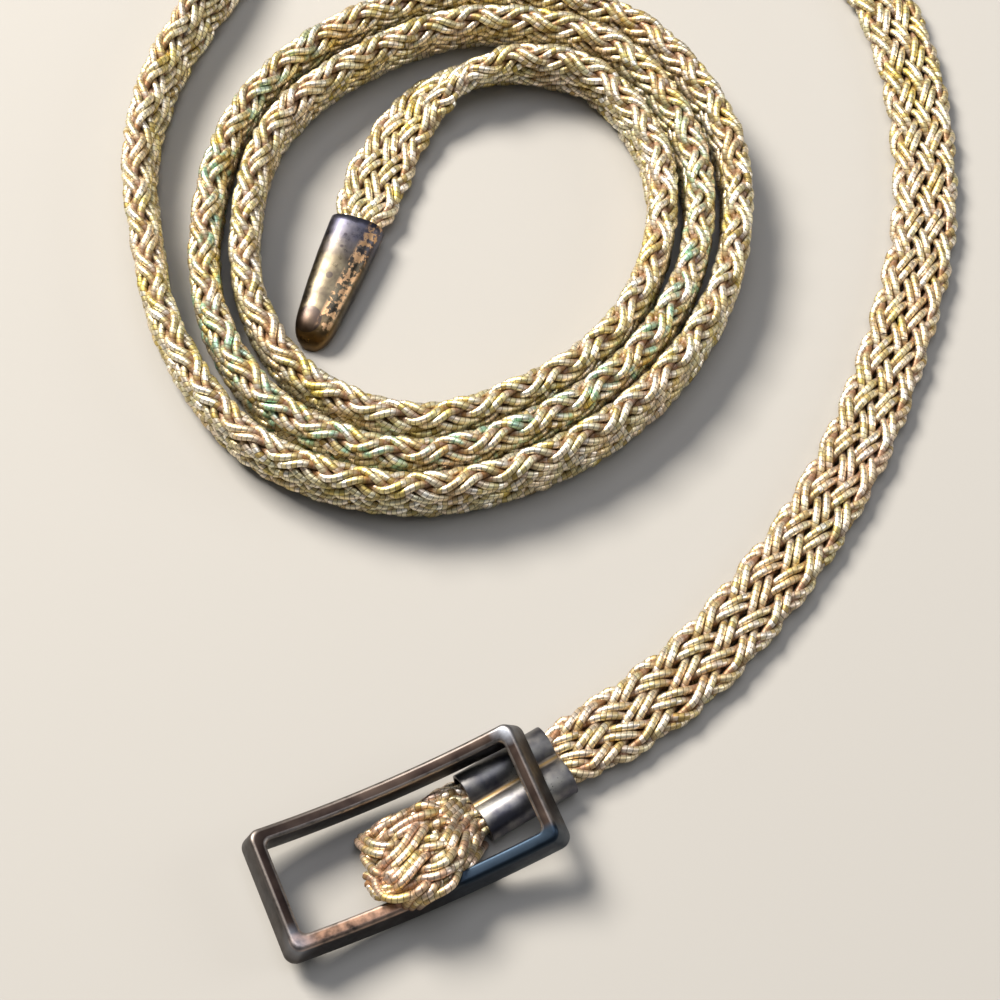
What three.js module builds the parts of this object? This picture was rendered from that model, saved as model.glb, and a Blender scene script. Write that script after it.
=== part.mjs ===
import * as THREE from 'three';

// A skinny belt: a flat braid of metallic cords wound in a loose coil, lying on a surface.
// Its tapered metal tip is in the middle of the coil. The other end runs through a crimped metal sleeve
// into the window of a small open buckle frame. Millimetres, +Z up, resting on z = 0.

// Places below are measured from the middle of the buckle. The belt's own origin is under its middle.
const ORIGIN = { x: 50.52, y: 72.76 };

// Braided strap: its plain size, its thickness where it stands on edge and isn't pressed flat, and the
// spacing of the cross-sections along it
const STRAP_WIDTH = 9.4;
const STRAP_THICKNESS = 3.4;
const STANDING_THICKNESS = 4.1;
const SECTION_SPACING = 4.5;

// Half of the strap's outline across its width, as shares of the half width and half thickness.
// The pinched depth is for the neck inside the sleeve, which is squeezed in two.
const STRAP_OUTLINE = [
  { across: 1.0, depth: 0.0, pinched: 0.0 },
  { across: 0.89, depth: 0.62, pinched: 0.62 },
  { across: 0.55, depth: 1.0, pinched: 1.0 },
  { across: 0.0, depth: 1.0, pinched: 0.31 },
  { across: -0.55, depth: 1.0, pinched: 1.0 },
  { across: -0.89, depth: 0.62, pinched: 0.62 },
];

// Buckle frame: an open rectangle, bowed along its length, cast in one piece. The draft sets the top of
// its outer side in from the bottom.
const FRAME_LENGTH = 37.6;
const FRAME_WIDTH = 16.6;
const BAR_WIDTH = 2.2;
const BAR_DEPTH = 4.2;
const BAR_DRAFT = 0.35;
const BAR_EDGE_RADIUS = 0.6;
const FRAME_CORNER_RADIUS = 1.5;
const WINDOW_CORNER_RADIUS = 0.9;
const BOW_RADIUS = 63;
const FRAME_PLACE = { x: 0.7, y: 1.1, z: 1.7 };
const FRAME_LEAN = THREE.MathUtils.degToRad(3.4);
const FRAME_TILT = THREE.MathUtils.degToRad(4);
const FRAME_TURN = THREE.MathUtils.degToRad(0.2);

// Crimped sleeve: one sheet rolled into two barrels side by side, with a crease between them
const SLEEVE_LENGTH = 12.2;
const BARREL_RADIUS = 2.4;
const SLEEVE_WALL = 0.45;
const CREASE_HALF_HEIGHT = 1.25;
const SLEEVE_PLACE = { x: 15.9, y: 3.3 };
const SLEEVE_TURN = THREE.MathUtils.degToRad(8.5);

// Metal tip: a flattened cap that narrows to a round end, over the strap's end
const TIP_MOUTH = { x: 28.3, y: 87.2 };
const TIP_TURN = THREE.MathUtils.degToRad(228.5);
const TIP_PROFILE = [
  { along: 0.0, width: 7.8, thickness: 5.0 },
  { along: 1.2, width: 7.8, thickness: 5.0 },
  { along: 6.0, width: 7.5, thickness: 4.9 },
  { along: 11.0, width: 6.9, thickness: 4.6 },
  { along: 15.5, width: 6.1, thickness: 4.2 },
  { along: 17.8, width: 5.1, thickness: 3.7 },
  { along: 19.0, width: 3.7, thickness: 2.8 },
  { along: 19.6, width: 1.9, thickness: 1.5 },
];
const TIP_WALL = 0.5;
const SOCKET_DEPTH = 6;
const FIT_GAP = 0.3;

// Coil: the radius of each turn by the clock, in degrees clockwise from +Y, and the lean of the
// strap's upper edge, which points away from the middle where it is positive
const COIL_MIDDLE = { x: 38.4, y: 79.0 };
const COIL = [
  { clock: 0, inner: null, middle: 32.8, outer: 39.1, lean: -15 },
  { clock: 30, inner: null, middle: 37.4, outer: 43.0, lean: -15 },
  { clock: 60, inner: 34.0, middle: 39.6, outer: 44.7, lean: -6 },
  { clock: 90, inner: 31.7, middle: 36.8, outer: 42.3, lean: 2 },
  { clock: 120, inner: 28.5, middle: 33.7, outer: 38.9, lean: 2 },
  { clock: 150, inner: 27.4, middle: 32.1, outer: 37.0, lean: 0 },
  { clock: 180, inner: 27.3, middle: 32.3, outer: 37.5, lean: 2 },
  { clock: 210, inner: 29.5, middle: 34.9, outer: 39.9, lean: 5 },
  { clock: 240, inner: 29.6, middle: 35.3, outer: 41.0, lean: 2 },
  { clock: 270, inner: 28.3, middle: 34.0, outer: 40.2, lean: -2 },
  { clock: 300, inner: 27.9, middle: 33.3, outer: null, lean: -2 },
  { clock: 330, inner: 30.4, middle: 35.8, outer: null, lean: -7 },
];

// From the tip into the coil. Lift raises the strap above its rest on the surface, roll turns its width
// up from level, and half a turn of roll is level again with the faces swapped.
const LEAD_IN = [
  { x: 29.1, y: 88.1, lift: 1.0, roll: 180, width: 6.6, thickness: 3.2 },
  { x: 30.7, y: 90.0, lift: 0.7, roll: 179, width: 8.4, thickness: 3.3 },
  { x: 33.8, y: 93.8, lift: 0.1, roll: 178, width: 9.2 },
  { x: 37.9, y: 98.0, lift: 0, roll: 175, width: 9.0 },
  { x: 42.1, y: 101.5, lift: 0, roll: 168, width: 8.8 },
  { x: 45.5, y: 103.3, lift: 0, roll: 157, width: 8.8 },
  { x: 49.3, y: 104.3, lift: 0, roll: 140, width: 9.0 },
  { x: 53.6, y: 104.0, lift: 0, roll: 119, thickness: 3.8 },
  { x: 59.8, y: 102.6, lift: 0, roll: 103, thickness: STANDING_THICKNESS },
];

// Out of the coil, still on edge
const LEAD_OUT = [
  { x: 0.4, y: 95.1, lift: 0, roll: 86, thickness: STANDING_THICKNESS },
  { x: 4.0, y: 108.2, lift: 0, roll: 84, thickness: STANDING_THICKNESS },
  { x: 11.3, y: 120.3, lift: 0, roll: 82, thickness: STANDING_THICKNESS },
  { x: 22.6, y: 131.3, lift: 0, roll: 78, thickness: 3.8 },
];

// The plain arc behind the coil, where the strap turns level
const ARC_MIDDLE = { x: 61.5, y: 95.4 };
const ARC_RADIUS = 53;
const ARC_FROM = 128;
const ARC_TO = 8;
const ARC_STEPS = 6;

// Down beside the coil, through the sleeve, and into the buckle's window as a folded end
const RETURN = [
  { x: 114.2, y: 95.6, lift: 0, roll: 0 },
  { x: 112.3, y: 82.8, lift: 0, roll: 0 },
  { x: 107.7, y: 69.6, lift: 0, roll: 0 },
  { x: 100.1, y: 55.3, lift: 0, roll: 0 },
  { x: 90.5, y: 43.4, lift: 0, roll: 0 },
  { x: 77.5, y: 30.2, lift: 0, roll: 0 },
  { x: 65.5, y: 20.9, lift: 0, roll: 0 },
  { x: 54.5, y: 14.3, lift: 0, roll: 0, width: 9.8 },
  { x: 42.3, y: 8.7, lift: 0, roll: 0, width: 10.0 },
  { x: 31.6, y: 5.8, lift: 0.1, roll: 0, width: 9.8 },
  { x: 25.4, y: 4.8, lift: 0.5, roll: 0, width: 9.2 },
  { x: 23.4, y: 4.45, lift: 0.8, roll: 0, width: 8.2, thickness: 2.8 },
  { x: 22.4, y: 4.3, lift: 1.15, roll: 0, width: 7.4, thickness: 2.4, pinch: 1 },
  { x: 9.4, y: 2.35, lift: 1.15, roll: 0, width: 7.4, thickness: 2.4, pinch: 1 },
  { x: 8.5, y: 2.2, lift: 0.9, roll: 0, width: 8.4, thickness: 2.8 },
  { x: 7.2, y: 1.9, lift: 1.0, roll: 5, width: 9.8, thickness: 3.4 },
  { x: 4.6, y: 1.1, lift: 2.1, roll: 17, width: 11.4, thickness: 3.5 },
  { x: 1.8, y: -0.2, lift: 2.2, roll: 22, width: 13.4, thickness: 3.4 },
  { x: -1.0, y: -0.6, lift: 2.1, roll: 22, width: 13.8, thickness: 3.4 },
  { x: -3.4, y: 0.1, lift: 2.0, roll: 20, width: 11.4, thickness: 3.2 },
  { x: -4.8, y: 0.4, lift: 2.0, roll: 14, width: 7.6, thickness: 2.5 },
];

const degrees = THREE.MathUtils.degToRad;

// The point at a distance and a bearing from a middle
function around(middle, radius, bearing) {
  return {
    x: middle.x + radius * Math.cos(degrees(bearing)),
    y: middle.y + radius * Math.sin(degrees(bearing)),
  };
}

// A closed surface of rings with the same number of points, joined one to the next.
// Open ends are closed by a fan about the middle of the ring; a looped list joins its last to its first.
function ringsGeometry(rings, { looped = false } = {}) {
  const sides = rings[0].length;
  const positions = rings.flat().flatMap((point) => [point.x, point.y, point.z]);
  const index = [];
  const spans = looped ? rings.length : rings.length - 1;
  for (let i = 0; i < spans; i++) {
    const here = i * sides;
    const next = ((i + 1) % rings.length) * sides;
    for (let j = 0; j < sides; j++) {
      const k = (j + 1) % sides;
      index.push(here + j, here + k, next + k);
      index.push(here + j, next + k, next + j);
    }
  }
  if (!looped) {
    const last = (rings.length - 1) * sides;
    for (const [start, turned] of [[0, true], [last, false]]) {
      const ring = rings[start / sides];
      const middle = ring
        .reduce((sum, point) => sum.add(point), new THREE.Vector3())
        .divideScalar(sides);
      const hub = positions.length / 3;
      positions.push(middle.x, middle.y, middle.z);
      for (let j = 0; j < sides; j++) {
        const a = start + j;
        const b = start + ((j + 1) % sides);
        index.push(...(turned ? [b, a, hub] : [a, b, hub]));
      }
    }
  }
  const geometry = new THREE.BufferGeometry();
  geometry.setAttribute('position', new THREE.Float32BufferAttribute(positions, 3));
  geometry.setIndex(index);
  return geometry;
}

function coilRows() {
  const rows = [];
  for (const turn of ['inner', 'middle', 'outer']) {
    for (const row of COIL) {
      if (row[turn] !== null) {
        const place = around(COIL_MIDDLE, row[turn], 90 - row.clock);
        rows.push({ ...place, lift: 0, roll: 90 - row.lean, thickness: STANDING_THICKNESS });
      }
    }
  }
  return rows;
}

function arcRows() {
  const rows = [];
  for (let i = 1; i <= ARC_STEPS; i++) {
    const share = i / ARC_STEPS;
    const bearing = ARC_FROM + (ARC_TO - ARC_FROM) * ((i - 0.5) / ARC_STEPS);
    const roll = LEAD_OUT.at(-1).roll * Math.max(0, 1 - 2 * share);
    rows.push({ ...around(ARC_MIDDLE, ARC_RADIUS, bearing), lift: 0, roll });
  }
  return rows;
}

// The row inside the tip, where the strap ends
function tipEndRow() {
  const reach = SOCKET_DEPTH - FIT_GAP;
  const x = TIP_MOUTH.x + reach * Math.cos(TIP_TURN);
  const y = TIP_MOUTH.y + reach * Math.sin(TIP_TURN);
  return { x, y, lift: 0.9, roll: 180, width: 5.9, thickness: 3.0 };
}

function tipMouthRow() {
  return { ...TIP_MOUTH, lift: 0.9, roll: 180, width: 6.0, thickness: 3.1 };
}

function strapRows() {
  const rows = [tipEndRow(), tipMouthRow(), ...LEAD_IN, ...coilRows(), ...LEAD_OUT, ...arcRows(), ...RETURN];
  return rows.map((row) => ({ width: STRAP_WIDTH, thickness: STRAP_THICKNESS, pinch: 0, ...row }));
}

// One cross-section of the strap: its outline set square to the route, turned by its roll
function strapRing(place, heading, row) {
  const outward = new THREE.Vector3(-heading.y, heading.x, 0).normalize();
  const up = new THREE.Vector3(0, 0, 1);
  const cos = Math.cos(degrees(row.roll));
  const sin = Math.sin(degrees(row.roll));
  const across = outward.clone().multiplyScalar(cos).addScaledVector(up, sin);
  const through = outward.clone().multiplyScalar(-sin).addScaledVector(up, cos);
  const halfWidth = row.width / 2;
  const halfThickness = row.thickness / 2;
  const depthOf = (spot) => THREE.MathUtils.lerp(spot.depth, spot.pinched, row.pinch);
  const drop = (spot) => Math.abs(spot.across * halfWidth * sin) + Math.abs(depthOf(spot) * halfThickness * cos);
  const rest = Math.max(...STRAP_OUTLINE.map(drop));
  const middle = new THREE.Vector3(place.x, place.y, rest + row.lift);
  const upper = STRAP_OUTLINE.map((spot) => [spot.across, depthOf(spot)]);
  const lower = STRAP_OUTLINE.map((spot) => [-spot.across, -depthOf(spot)]);
  return [...upper, ...lower].map(([a, d]) =>
    middle.clone().addScaledVector(across, a * halfWidth).addScaledVector(through, d * halfThickness));
}

function strapGeometry() {
  const rows = strapRows();
  const spans = rows.length - 1;
  const route = new THREE.CatmullRomCurve3(rows.map((row) => new THREE.Vector3(row.x, row.y, 0)));
  const rings = [];
  for (let i = 0; i < spans; i++) {
    const here = rows[i];
    const next = rows[i + 1];
    const cuts = Math.ceil(Math.hypot(next.x - here.x, next.y - here.y) / SECTION_SPACING);
    const last = i === spans - 1 ? cuts : cuts - 1;
    for (let cut = 0; cut <= last; cut++) {
      const share = cut / cuts;
      const t = (i + share) / spans;
      const row = {};
      for (const key of ['lift', 'roll', 'width', 'thickness', 'pinch']) {
        row[key] = THREE.MathUtils.lerp(here[key], next[key], THREE.MathUtils.smoothstep(share, 0, 1));
      }
      rings.push(strapRing(route.getPoint(t), headingAt(route, t), row));
    }
  }
  return ringsGeometry(rings);
}

function headingAt(route, t) {
  const reach = 1e-4;
  const before = route.getPoint(Math.max(0, t - reach));
  const after = route.getPoint(Math.min(1, t + reach));
  return after.sub(before);
}

// An arc of points about a corner's centre
function cornerPoints(x, y, radius, from, to, steps) {
  const points = [];
  for (let i = 0; i <= steps; i++) {
    const angle = degrees(from + ((to - from) * i) / steps);
    points.push([x + radius * Math.cos(angle), y + radius * Math.sin(angle)]);
  }
  return points;
}

// A rectangle with round corners, anticlockwise, its long sides cut into short runs
function roundedRectangle(length, width, radius, runs) {
  const x = length / 2 - radius;
  const y = width / 2 - radius;
  const corner = (sx, sy, from) => cornerPoints(sx * x, sy * y, radius, from, from + 90, 4);
  const side = (fromX, toX, atY) =>
    Array.from({ length: runs - 1 }, (_, i) => [fromX + ((toX - fromX) * (i + 1)) / runs, atY]);
  return [
    ...corner(1, 1, 0),
    ...side(x, -x, width / 2),
    ...corner(-1, 1, 90),
    ...corner(-1, -1, 180),
    ...side(-x, x, -width / 2),
    ...corner(1, -1, 270),
  ];
}

// The bar's section, from the window's edge (0) to the outer edge (1) and from its underside up
function barSection() {
  const edge = BAR_EDGE_RADIUS;
  const points = [
    ...cornerPoints(edge, edge, edge, 180, 270, 2),
    ...cornerPoints(BAR_WIDTH - edge, edge, edge, 270, 360, 2),
    ...cornerPoints(BAR_WIDTH - BAR_DRAFT - edge, BAR_DEPTH - edge, edge, 0, 90, 2),
    ...cornerPoints(edge, BAR_DEPTH - edge, edge, 90, 180, 2),
  ];
  return points.map(([across, height]) => ({ share: across / BAR_WIDTH, height }));
}

function frameGeometry() {
  const runs = 10;
  const inner = roundedRectangle(
    FRAME_LENGTH - 2 * BAR_WIDTH, FRAME_WIDTH - 2 * BAR_WIDTH, WINDOW_CORNER_RADIUS, runs);
  const outer = roundedRectangle(FRAME_LENGTH, FRAME_WIDTH, FRAME_CORNER_RADIUS, runs);
  const section = barSection();
  const rings = outer.map(([outerX, outerY], i) => {
    const [innerX, innerY] = inner[i];
    return section.map(({ share, height }) => {
      const x = THREE.MathUtils.lerp(innerX, outerX, share);
      const y = THREE.MathUtils.lerp(innerY, outerY, share);
      const turn = x / BOW_RADIUS;
      const reach = BOW_RADIUS - height;
      return new THREE.Vector3(reach * Math.sin(turn), y, BOW_RADIUS - reach * Math.cos(turn));
    });
  });
  return ringsGeometry(rings.reverse(), { looped: true });
}

// One outline of the sleeve: two round barrels joined at a crease above and below
function sleeveOutline(radius, creaseHalfHeight) {
  const reach = 150;
  const steps = 12;
  const right = cornerPoints(BARREL_RADIUS, 0, radius, -reach, reach, steps);
  const left = right.map(([y, z]) => [-y, -z]);
  return [...right, [0, creaseHalfHeight], ...left, [0, -creaseHalfHeight]];
}

function sleeveGeometry() {
  const outer = sleeveOutline(BARREL_RADIUS, CREASE_HALF_HEIGHT);
  const inner = sleeveOutline(BARREL_RADIUS - SLEEVE_WALL, CREASE_HALF_HEIGHT - SLEEVE_WALL);
  const end = SLEEVE_LENGTH / 2;
  const ring = (outline, x) => outline.map(([y, z]) => new THREE.Vector3(x, y, z));
  const rings = [ring(outer, -end), ring(outer, end), ring(inner, end), ring(inner, -end)];
  return ringsGeometry(rings, { looped: true });
}

// A flattened round outline, with full sides
function capRing(along, width, thickness, height) {
  const sides = 20;
  const fullness = 0.8;
  const ring = [];
  for (let i = 0; i < sides; i++) {
    const angle = (2 * Math.PI * i) / sides;
    const cos = Math.cos(angle);
    const sin = Math.sin(angle);
    const y = (Math.sign(cos) * Math.abs(cos) ** fullness * width) / 2;
    const z = (Math.sign(sin) * Math.abs(sin) ** fullness * thickness) / 2;
    ring.push(new THREE.Vector3(along, y, z + height));
  }
  return ring;
}

function tipGeometry() {
  const mouth = TIP_PROFILE[0];
  const socketWidth = mouth.width - 2 * TIP_WALL;
  const socketThickness = mouth.thickness - 2 * TIP_WALL;
  const level = mouth.thickness / 2;
  const outside = TIP_PROFILE.map((row) => capRing(row.along, row.width, row.thickness, row.thickness / 2));
  const socket = [SOCKET_DEPTH, 0].map((along) => capRing(along, socketWidth, socketThickness, level));
  return ringsGeometry([...socket, ...outside]);
}

function metal(color, roughness, metalness = 1) {
  return new THREE.MeshStandardMaterial({ color, roughness, metalness });
}

function makeStrap() {
  const strap = new THREE.Mesh(strapGeometry(), metal('#cfae72', 0.45, 0.8));
  strap.name = 'strap';
  return strap;
}

function makeBuckleFrame() {
  const frame = new THREE.Mesh(frameGeometry(), metal('#4a4038', 0.35));
  frame.name = 'buckle_frame';
  frame.rotation.set(FRAME_LEAN, -FRAME_TILT, FRAME_TURN, 'ZXY');
  frame.position.set(FRAME_PLACE.x, FRAME_PLACE.y, FRAME_PLACE.z);
  return frame;
}

function makeSleeve() {
  const sleeve = new THREE.Mesh(sleeveGeometry(), metal('#8b8d90', 0.25));
  sleeve.name = 'strap_sleeve';
  sleeve.rotation.z = SLEEVE_TURN;
  sleeve.position.set(SLEEVE_PLACE.x, SLEEVE_PLACE.y, BARREL_RADIUS);
  return sleeve;
}

function makeTip() {
  const tip = new THREE.Mesh(tipGeometry(), metal('#6d543e', 0.4));
  tip.name = 'end_tip';
  tip.rotation.z = TIP_TURN;
  tip.position.set(TIP_MOUTH.x, TIP_MOUTH.y, 0);
  return tip;
}

const belt = new THREE.Group();
belt.position.set(-ORIGIN.x, -ORIGIN.y, 0);
belt.add(makeStrap(), makeBuckleFrame(), makeSleeve(), makeTip());

export default belt;
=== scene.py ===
import math
import bpy
import numpy as np
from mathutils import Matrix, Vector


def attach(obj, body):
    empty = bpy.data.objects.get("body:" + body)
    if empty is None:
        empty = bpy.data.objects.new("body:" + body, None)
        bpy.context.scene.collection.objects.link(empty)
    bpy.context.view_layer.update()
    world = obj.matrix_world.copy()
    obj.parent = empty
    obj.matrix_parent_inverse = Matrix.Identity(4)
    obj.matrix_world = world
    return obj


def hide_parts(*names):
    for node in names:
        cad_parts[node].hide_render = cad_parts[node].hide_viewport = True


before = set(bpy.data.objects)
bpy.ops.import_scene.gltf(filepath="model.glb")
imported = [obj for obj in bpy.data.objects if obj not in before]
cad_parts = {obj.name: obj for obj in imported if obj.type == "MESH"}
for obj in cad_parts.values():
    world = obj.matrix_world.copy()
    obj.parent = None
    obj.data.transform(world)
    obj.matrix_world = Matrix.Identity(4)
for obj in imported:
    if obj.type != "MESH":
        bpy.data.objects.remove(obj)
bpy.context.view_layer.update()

# Braided strap
# A round braid pressed flat: twelve strands, six each way, each a pair of thread cords wound with gold foil.
# From the tip it makes three turns of a coil, standing on edge, and then lies flat on its way back to the
# buckle, where the sleeve grips it.
MM = 0.001
ORIGIN = np.array([50.52, 72.76, 0.0])  # the part's origin, in the tables' own millimetres
STRAP_WIDTH, STRAP_THICKNESS, STANDING_THICKNESS = 9.4, 3.4, 4.1
TIP_MOUTH, TIP_TURN, TUCKED_IN = (28.3, 87.2), 228.5, 5.7
FIRST_CROSSING = 1.1  # where it falls, after the strap's hidden end
GREEN_LENGTH, PINK_LENGTH = (290, 400), 110  # the tarnished stretch of the middle turn, and the last stretch
FOLD_LENGTH, FOLD_SINK = 12.5, 0.6  # in the folded end the braid lies low, under the loose cords
# The tables are the CAD model's, but the first lead-in rows are wider, so that cords fill the tip's mouth.
COIL_MIDDLE = (38.4, 79.0)
COIL = [  # clock, inner, middle and outer radius, lean
    (0, None, 32.8, 39.1, -15), (30, None, 37.4, 43.0, -15), (60, 34.0, 39.6, 44.7, -6),
    (90, 31.7, 36.8, 42.3, 2), (120, 28.5, 33.7, 38.9, 2), (150, 27.4, 32.1, 37.0, 0),
    (180, 27.3, 32.3, 37.5, 2), (210, 29.5, 34.9, 39.9, 5), (240, 29.6, 35.3, 41.0, 2),
    (270, 28.3, 34.0, 40.2, -2), (300, 27.9, 33.3, None, -2), (330, 30.4, 35.8, None, -7),
]
LEAD_IN = [  # x, y, lift, roll, width, thickness, pinch
    (29.1, 88.1, 1.0, 180, 7.0, 3.2), (30.7, 90.0, 0.7, 179, 9.2, 3.3), (33.8, 93.8, 0.1, 178, 9.7),
    (37.9, 98.0, 0, 175, 9.0), (42.1, 101.5, 0, 168, 8.8), (45.5, 103.3, 0, 157, 8.8),
    (49.3, 104.3, 0, 140, 9.0), (53.6, 104.0, 0, 119, 9.4, 3.8), (59.8, 102.6, 0, 103, 9.4, 4.1),
]
LEAD_OUT = [(0.4, 95.1, 0, 86, 9.4, 4.1), (4.0, 108.2, 0, 84, 9.4, 4.1), (11.3, 120.3, 0, 82, 9.4, 4.1),
            (22.6, 131.3, 0, 78, 9.4, 3.8)]
ARC_MIDDLE, ARC_RADIUS, ARC_FROM, ARC_TO, ARC_STEPS = (61.5, 95.4), 53, 128, 8, 6
RETURN = [
    (114.2, 95.6, 0, 0), (112.3, 82.8, 0, 0), (107.7, 69.6, 0, 0), (100.1, 55.3, 0, 0), (90.5, 43.4, 0, 0),
    (77.5, 30.2, 0, 0), (65.5, 20.9, 0, 0), (54.5, 14.3, 0, 0, 9.8), (42.3, 8.7, 0, 0, 10.0),
    (31.6, 5.8, 0.1, 0, 9.8), (25.4, 4.8, 0.5, 0, 9.2), (23.4, 4.45, 0.8, 0, 8.2, 2.8),
    (22.4, 4.3, 1.15, 0, 7.4, 2.4, 1), (9.4, 2.35, 1.15, 0, 7.4, 2.4, 1), (8.5, 2.2, 0.9, 0, 8.4, 2.8),
    (7.2, 1.9, 1.0, 5, 9.8, 3.4), (4.6, 1.1, 2.1, 17, 11.4, 3.5), (1.8, -0.2, 2.2, 22, 13.4, 3.4),
    (-1.0, -0.6, 2.1, 22, 13.8, 3.4), (-3.4, 0.1, 2.0, 20, 11.4, 3.2), (-4.8, 0.4, 2.0, 14, 7.6, 2.5),
]


def around(middle, radius, bearing):
    """The point at a distance and a bearing, in degrees, from a middle."""
    angle = math.radians(bearing)
    return middle[0] + radius * math.cos(angle), middle[1] + radius * math.sin(angle)


def strap_rows():
    """Every row of the route: x, y, lift, roll, width, thickness, pinch."""
    end = around(TIP_MOUTH, TUCKED_IN, TIP_TURN)
    rows = [(*end, 0.9, 180, 5.9, 3.0), (*TIP_MOUTH, 0.9, 180, 6.0, 3.1), *LEAD_IN]
    for turn in (1, 2, 3):
        for row in COIL:
            if row[turn] is not None:
                place = around(COIL_MIDDLE, row[turn], 90 - row[0])
                rows.append((*place, 0, 90 - row[4], STRAP_WIDTH, STANDING_THICKNESS))
    rows += LEAD_OUT
    for i in range(1, ARC_STEPS + 1):
        bearing = ARC_FROM + (ARC_TO - ARC_FROM) * (i - 0.5) / ARC_STEPS
        roll = LEAD_OUT[-1][3] * max(0, 1 - 2 * i / ARC_STEPS)
        rows.append((*around(ARC_MIDDLE, ARC_RADIUS, bearing), 0, roll))
    rows += RETURN
    plain = (0, 0, 0, 0, STRAP_WIDTH, STRAP_THICKNESS, 0)
    return np.array([tuple(row) + plain[len(row):] for row in rows], dtype=float)


def route_samples(step):
    """The route as dense samples: its middle, the directions across and through the strap, and its sizes."""
    rows = strap_rows()
    points = rows[:, :2]
    points = np.vstack([2 * points[0] - points[1], points, 2 * points[-1] - points[-2]])
    place, heading, columns = [], [], []
    for i in range(len(rows) - 1):
        x0, x1, x2, x3 = points[i:i + 4]
        a, b, c = (np.linalg.norm(q - p) ** 0.5 for p, q in ((x0, x1), (x1, x2), (x2, x3)))
        t1 = ((x1 - x0) / a - (x2 - x0) / (a + b) + (x2 - x1) / b) * b
        t2 = ((x2 - x1) / b - (x3 - x1) / (b + c) + (x3 - x2) / c) * b
        c2, c3 = -3 * x1 + 3 * x2 - 2 * t1 - t2, 2 * x1 - 2 * x2 + t1 + t2
        cuts = max(1, math.ceil(np.linalg.norm(x2 - x1) / step))
        share = np.arange(cuts + (i == len(rows) - 2)) / cuts
        s = share[:, None]
        place.append(x1 + t1 * s + c2 * s ** 2 + c3 * s ** 3)
        heading.append(t1 + 2 * c2 * s + 3 * c3 * s ** 2)
        ease = (share ** 2 * (3 - 2 * share))[:, None]
        columns.append(rows[i, 2:] * (1 - ease) + rows[i + 1, 2:] * ease)
    place, heading, columns = (np.concatenate(part) for part in (place, heading, columns))
    lift, roll, width, thickness, pinch = columns.T
    heading = heading / np.linalg.norm(heading, axis=1)[:, None]
    outward = np.stack([-heading[:, 1], heading[:, 0], 0 * lift], 1)
    up = np.array([0.0, 0.0, 1.0])
    cos, sin = np.cos(np.radians(roll))[:, None], np.sin(np.radians(roll))[:, None]
    across, through = outward * cos + up * sin, -outward * sin + up * cos
    outline = [(1.0, 0.0), (0.89, 0.62), (0.55, 1.0)]  # a quarter of the section, in half sizes
    rest = np.max([abs(a * width / 2 * sin[:, 0]) + abs(d * thickness / 2 * cos[:, 0])
                   for a, d in outline], 0)
    centre = np.stack([place[:, 0], place[:, 1], rest + lift], 1) - ORIGIN
    along = np.concatenate([[0], np.cumsum(np.linalg.norm(np.diff(centre, axis=0), axis=1))])
    return {"centre": centre * MM, "across": across, "through": through, "half_width": width / 2 * MM,
            "half_thickness": thickness / 2 * MM, "pinch": pinch, "along": along * MM,
            "twist": 0.5 * np.sin(np.radians(roll)) ** 2}  # on edge, strands turn over half a crossing later


def feed(tree, node, inputs):
    """Fills a node's inputs. Each is a value, a socket, or a node, of which the first output is used."""
    for key, value in inputs.items():
        if isinstance(value, bpy.types.Node):
            value = value.outputs[0]
        if isinstance(value, bpy.types.NodeSocket):
            tree.links.new(value, node.inputs[key])
        else:
            node.inputs[key].default_value = value


def add(tree, kind, settings=None, inputs=None):
    """Adds a node with its settings and its inputs."""
    node = tree.nodes.new(kind)
    for name, value in (settings or {}).items():
        setattr(node, name, value)
    feed(tree, node, inputs or {})
    return node


def linear(hex_colour):
    """An sRGB hex colour as linear red, green, blue, alpha."""
    parts = [int(hex_colour[i:i + 2], 16) / 255 for i in (1, 3, 5)]
    return [c / 12.92 if c <= 0.04045 else ((c + 0.055) / 1.055) ** 2.4 for c in parts] + [1.0]


def new_finish(name):
    """A new material, with its node tree and its shader."""
    material = bpy.data.materials.new(name)
    material.use_nodes = True
    return material, material.node_tree, material.node_tree.nodes["Principled BSDF"]


def lay_over(tree, tone, layers):
    """Lays colours over a tone, one after another, each by its own share."""
    for share, colour in layers:
        mix = add(tree, "ShaderNodeMix", {"data_type": "RGBA"}, {0: share, 6: tone, 7: linear(colour)})
        tone = mix.outputs[2]
    return tone


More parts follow.
